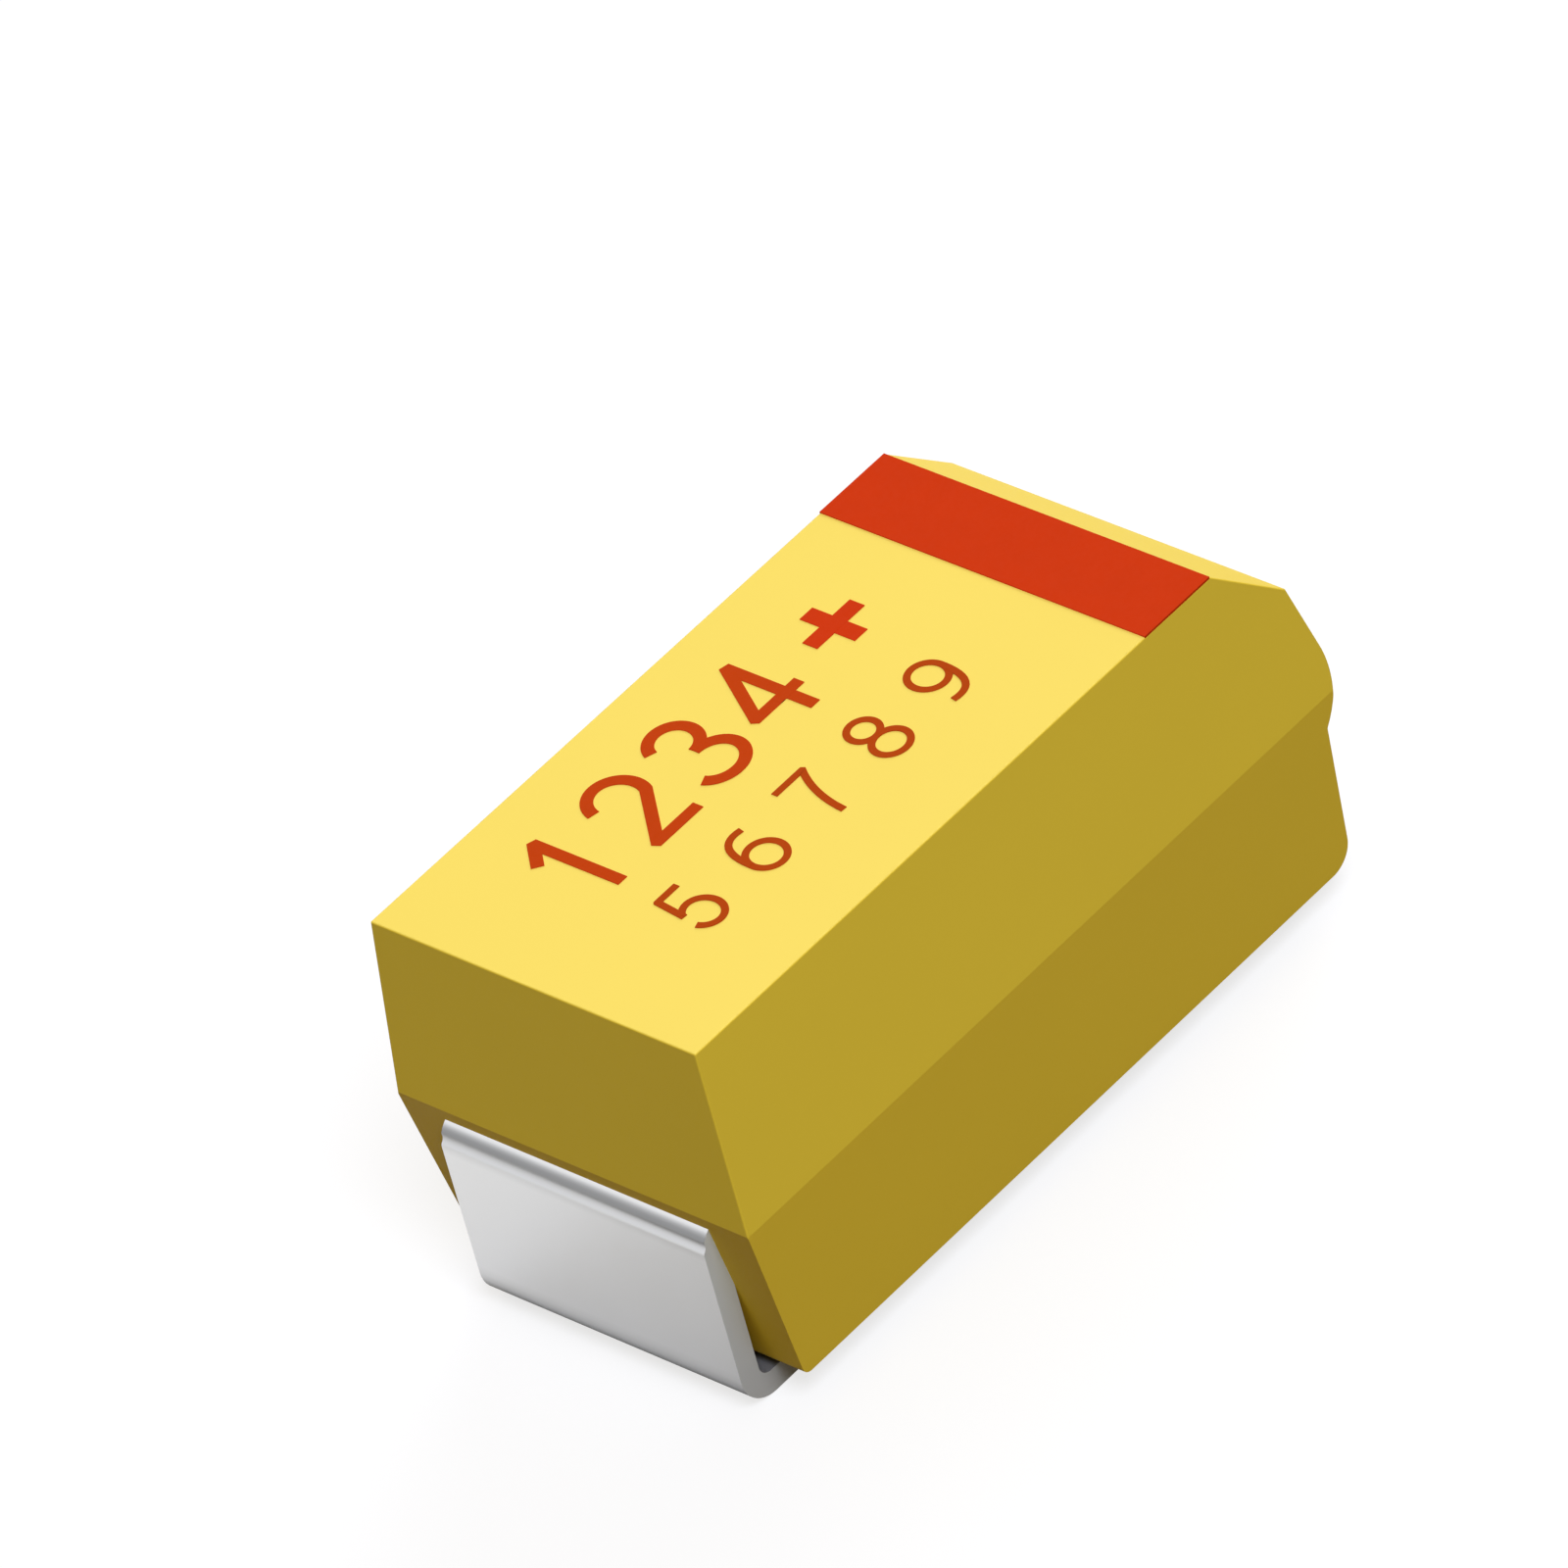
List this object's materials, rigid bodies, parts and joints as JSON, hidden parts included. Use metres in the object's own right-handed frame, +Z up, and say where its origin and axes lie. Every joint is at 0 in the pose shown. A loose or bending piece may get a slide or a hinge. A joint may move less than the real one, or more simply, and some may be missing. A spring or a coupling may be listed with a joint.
{
  "type": "moulded tantalum chip capacitor",
  "caption": "Surface-mount tantalum capacitor: drafted yellow resin case with a bevelled, rounded positive end and a red polarity stripe, on two folded flat terminals.",
  "frame": {"origin": "on the solder plane, under the middle of the part", "axes": "+X runs along the part to the anode (positive, striped and bevelled) end, +Z up out of the circuit board, +Y across the part"},
  "size_m": [0.0032, 0.0016, 0.0016],
  "materials": {
    "yellow_resin": "moulded epoxy, fine matt grain",
    "tinned_strip": "matt tin plate on nickel-iron strip",
    "red_ink": "printed stripe",
    "sintered_tantalum": "porous sintered powder",
    "tantalum_wire": "drawn wire",
    "white_ptfe": "waxy white",
    "black_oxide": "matt black",
    "graphite": "dull dark grey",
    "silver_paint": "matt silver paint",
    "silver_epoxy": "silver filled adhesive"
  },
  "bodies": {
    "root": {"moulded_case": "yellow_resin", "cathode_terminal": "tinned_strip", "anode_terminal": "tinned_strip", "polarity_stripe": "red_ink", "tantalum_pellet": "sintered_tantalum", "anode_wire": "tantalum_wire", "ptfe_washer": "white_ptfe", "manganese_dioxide_layer": "black_oxide", "graphite_layer": "graphite", "silver_layer": "silver_paint", "silver_adhesive": "silver_epoxy"}
  },
  "joints": []
}
